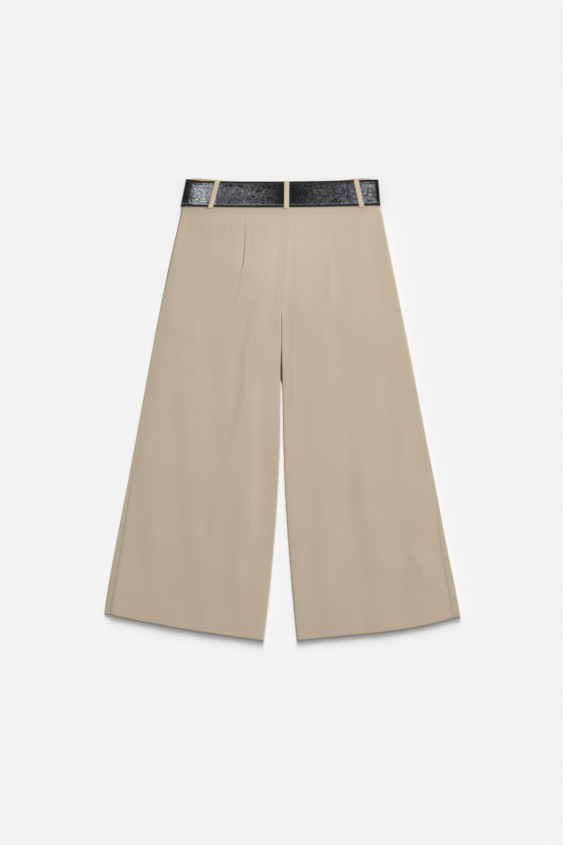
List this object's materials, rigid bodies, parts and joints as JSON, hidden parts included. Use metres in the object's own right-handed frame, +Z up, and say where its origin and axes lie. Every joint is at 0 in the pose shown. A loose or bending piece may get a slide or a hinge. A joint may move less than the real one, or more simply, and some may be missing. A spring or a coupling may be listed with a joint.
{
  "type": "culottes",
  "caption": "Wide-legged cloth culottes laid flat with their back up, with darts, belt loops and a wide buckled leather belt.",
  "frame": {"origin": "middle of the laid garment's outline, on the surface it lies on", "axes": "+X to the wearer's right (the back faces up), +Y up the garment from its hems to its waist, +Z up off the surface, out of the back"},
  "size_m": [0.6753, 0.8799, 0.0178],
  "materials": {
    "crepe": "smooth matt crepe",
    "patent_leather": "crackled gloss",
    "buckle_metal": "brushed"
  },
  "bodies": {
    "root": {"back_panel_left": "crepe", "back_panel_right": "crepe", "front_panel_left": "crepe", "front_panel_right": "crepe", "waistband_back": "crepe", "waistband_front_left": "crepe", "waistband_front_right": "crepe", "belt_loop_back_left": "crepe", "belt_loop_back_center": "crepe", "belt_loop_back_right": "crepe", "belt_loop_front_left": "crepe", "belt_loop_front_right": "crepe", "belt_strap": "patent_leather", "belt_keeper": "patent_leather", "buckle_frame": "buckle_metal", "buckle_prong": "buckle_metal"}
  },
  "joints": []
}
